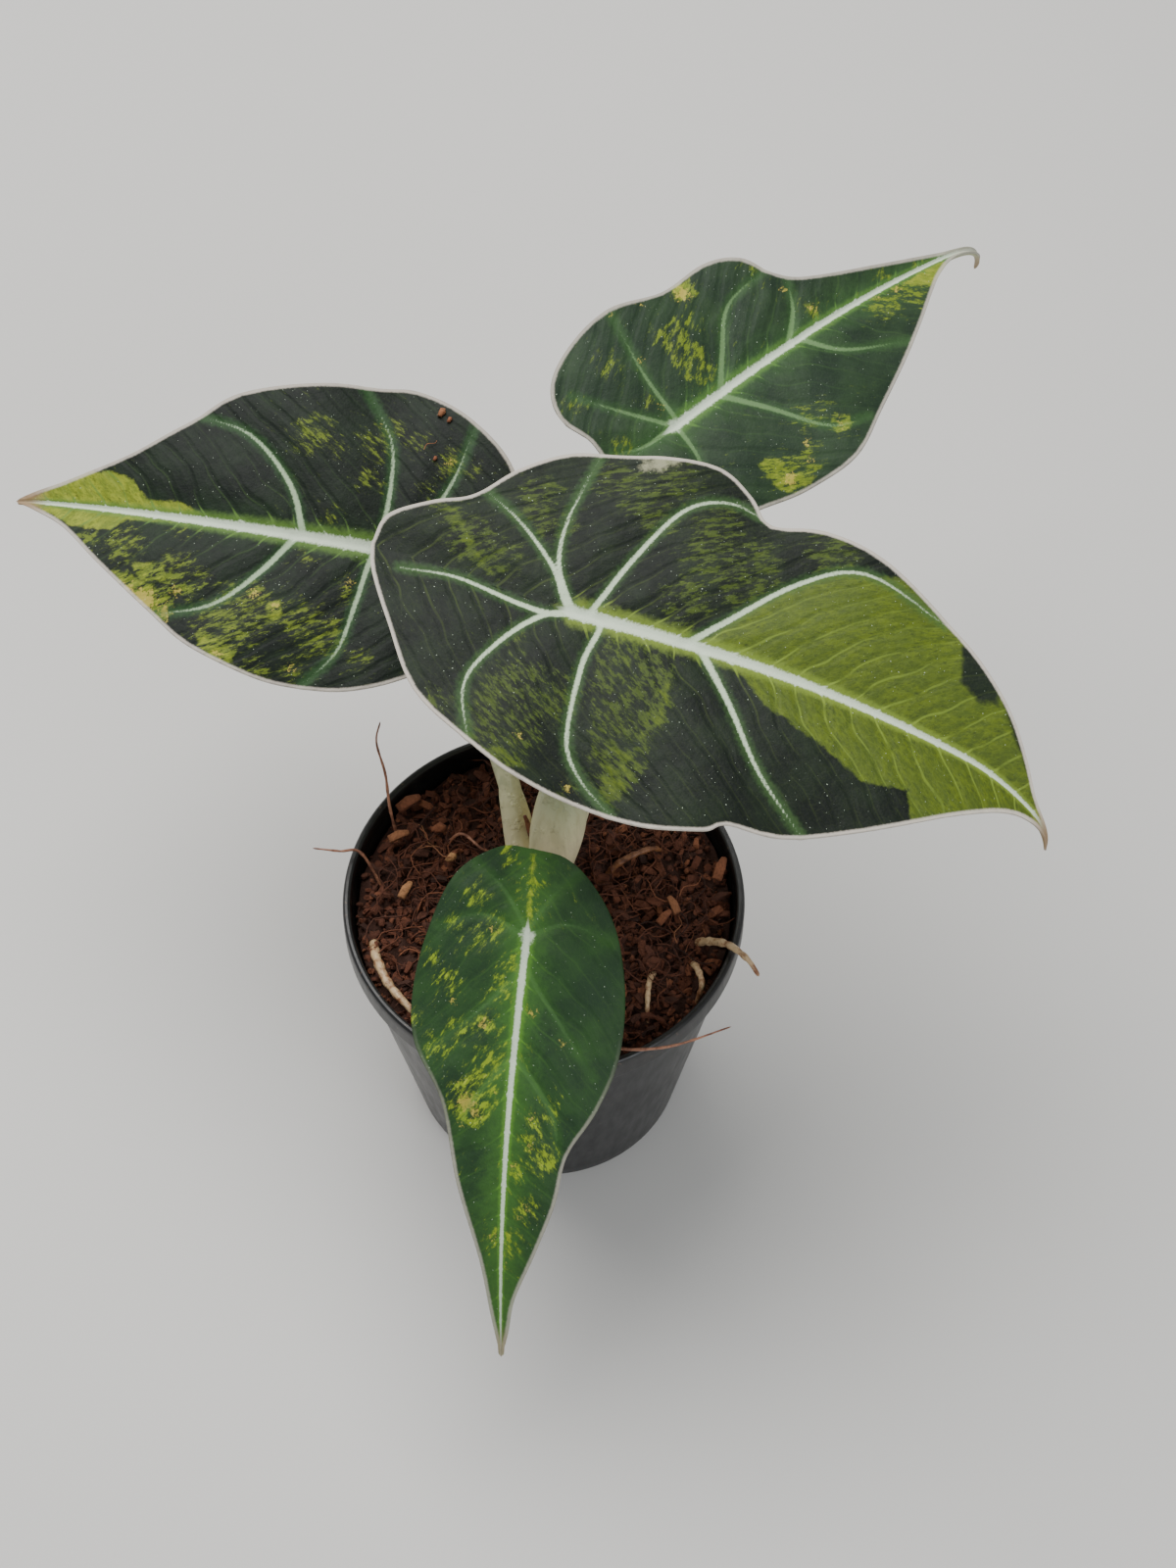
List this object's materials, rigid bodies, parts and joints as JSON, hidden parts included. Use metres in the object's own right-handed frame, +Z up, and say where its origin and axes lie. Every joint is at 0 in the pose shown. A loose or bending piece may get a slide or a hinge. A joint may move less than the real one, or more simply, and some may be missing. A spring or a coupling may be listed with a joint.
{
  "type": "potted alocasia plant",
  "caption": "Small velvet-leaved aroid in a round nursery pot: shield-shaped variegated leaves on stalks that rise from one crown in coarse coir.",
  "frame": {"origin": "middle of the pot's flat base, on the surface that it stands on", "axes": "+Z up along the pot's axis; the front leaf hangs over the rim on the -Y side; the big leaf points to +X and a little to -Y"},
  "size_m": [0.2234, 0.2347, 0.1646],
  "materials": {
    "pot_plastic": "thin black moulded plastic, satin",
    "coir_soil": "coarse moist coir and bark chips, reddish brown, matt",
    "stalk_flesh": "smooth living stalk, pale green to cream, soft satin",
    "velvet_blade": "velvety near-black green leaf with silver veins, lime variegation and a pale rim"
  },
  "bodies": {
    "root": {"pot": "pot_plastic", "soil": "coir_soil", "crown": "stalk_flesh", "stalk_big": "stalk_flesh", "stalk_left": "stalk_flesh", "stalk_back": "stalk_flesh", "stalk_front": "stalk_flesh", "blade_big": "velvet_blade", "blade_left": "velvet_blade", "blade_back": "velvet_blade", "blade_front": "velvet_blade"}
  },
  "joints": []
}
